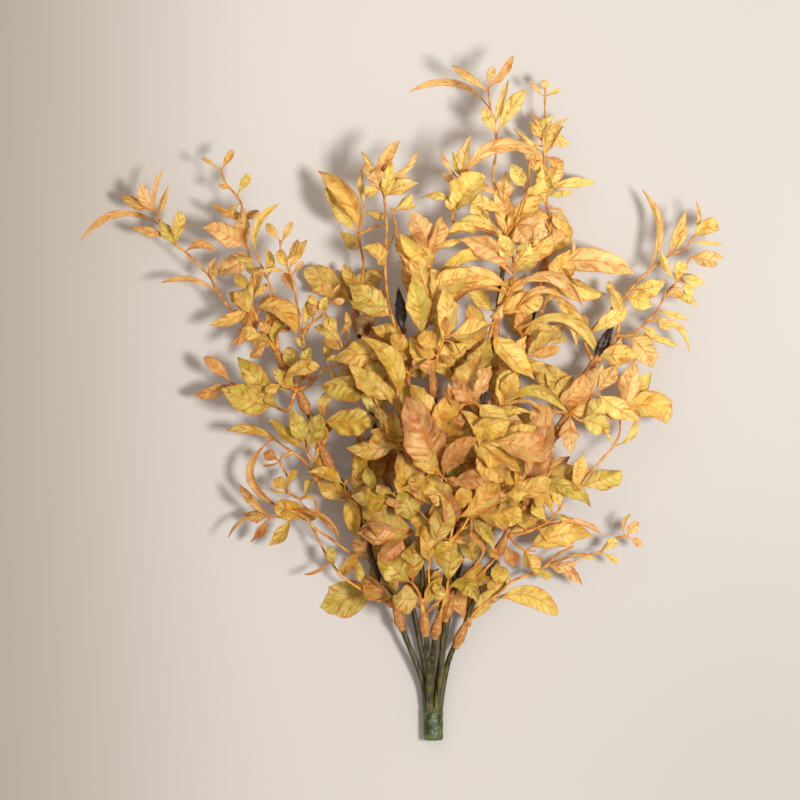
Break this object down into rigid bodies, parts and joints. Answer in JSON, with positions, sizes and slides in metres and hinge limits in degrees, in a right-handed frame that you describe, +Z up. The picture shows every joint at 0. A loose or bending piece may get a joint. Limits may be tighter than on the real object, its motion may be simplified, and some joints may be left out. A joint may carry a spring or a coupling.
{
  "type": "autumn leaf bunch",
  "caption": "Fan-shaped bunch of autumn-coloured leaf sprays on thin stems from a short base stub, lying down, for table or vase decoration.",
  "frame": {"origin": "middle of the bunch's outline seen from above, on the surface it lies on", "axes": "+Y from the base stub towards the leaf tips, +X across the fan, +Z up from the surface the bunch lies on"},
  "size_m": [0.415, 0.441, 0.0854],
  "materials": {
    "leaf_fabric": "thin printed cloth leaves, matte with a faint sheen, on wire-thin orange-brown twigs",
    "twig_plastic": "moulded orange-brown, satin, with small nodes, and ridged sleeves",
    "stem_plastic": "moulded dark brown-green, satin, lightly ribbed along its length",
    "stub_plastic": "moulded dark green, satin, slightly lumpy"
  },
  "bodies": {
    "root": {"base_stub": "stub_plastic", "stem_a": "stem_plastic", "stem_b": "stem_plastic", "stem_c": "stem_plastic", "stem_d": "stem_plastic", "stem_e": "stem_plastic", "stem_f": "stem_plastic", "stem_g": "stem_plastic", "stem_tip_b": "stem_plastic", "stem_tip_f": "stem_plastic", "spray_a1": "leaf_fabric", "spray_a2": "leaf_fabric", "spray_a3": "leaf_fabric", "spray_a4": "leaf_fabric", "spray_a5": "leaf_fabric", "spray_b1": "leaf_fabric", "spray_b2": "leaf_fabric", "spray_b3": "leaf_fabric", "spray_b4": "leaf_fabric", "spray_b5": "leaf_fabric", "spray_c1": "leaf_fabric", "spray_c2": "leaf_fabric", "spray_c3": "leaf_fabric", "spray_c4": "leaf_fabric", "spray_d1": "leaf_fabric", "spray_d2": "leaf_fabric", "spray_d3": "leaf_fabric", "spray_d4": "leaf_fabric", "spray_d5": "leaf_fabric", "spray_e1": "leaf_fabric", "spray_e2": "leaf_fabric", "spray_e3": "leaf_fabric", "spray_e4": "leaf_fabric", "spray_f1": "leaf_fabric", "spray_f2": "leaf_fabric", "spray_f3": "leaf_fabric", "spray_f4": "leaf_fabric", "spray_f5": "leaf_fabric", "spray_g1": "leaf_fabric", "spray_g2": "leaf_fabric", "spray_g3": "leaf_fabric", "spray_g4": "leaf_fabric"}
  },
  "joints": []
}
